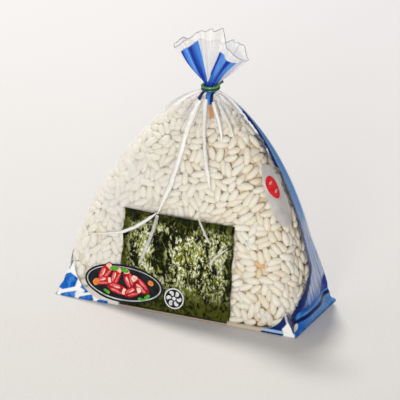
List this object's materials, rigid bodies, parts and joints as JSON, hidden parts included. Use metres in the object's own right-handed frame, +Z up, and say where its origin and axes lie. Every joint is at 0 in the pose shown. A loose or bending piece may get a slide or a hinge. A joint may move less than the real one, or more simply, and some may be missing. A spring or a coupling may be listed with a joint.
{
  "type": "onigiri rice ball in a tied bag",
  "caption": "Triangular rice ball with a nori strip, standing in a clear printed bag that is gathered at the top and closed with a twist tie.",
  "frame": {"origin": "centre of the bag's square bottom, on the surface that it stands on", "axes": "+Z up towards the tie, +X along the wide bottom edge, -Y towards the front where the nori shows"},
  "size_m": [0.11, 0.042, 0.1256],
  "materials": {
    "bag": "cream-white cooked rice seen through thin clear film with blue printed corners",
    "nori": "dry pressed seaweed, near-black green with olive flecks",
    "twist_tie": "green plastic-coated wire, satin"
  },
  "bodies": {
    "root": {"bag": "bag", "nori": "nori", "twist_tie": "twist_tie"}
  },
  "joints": []
}
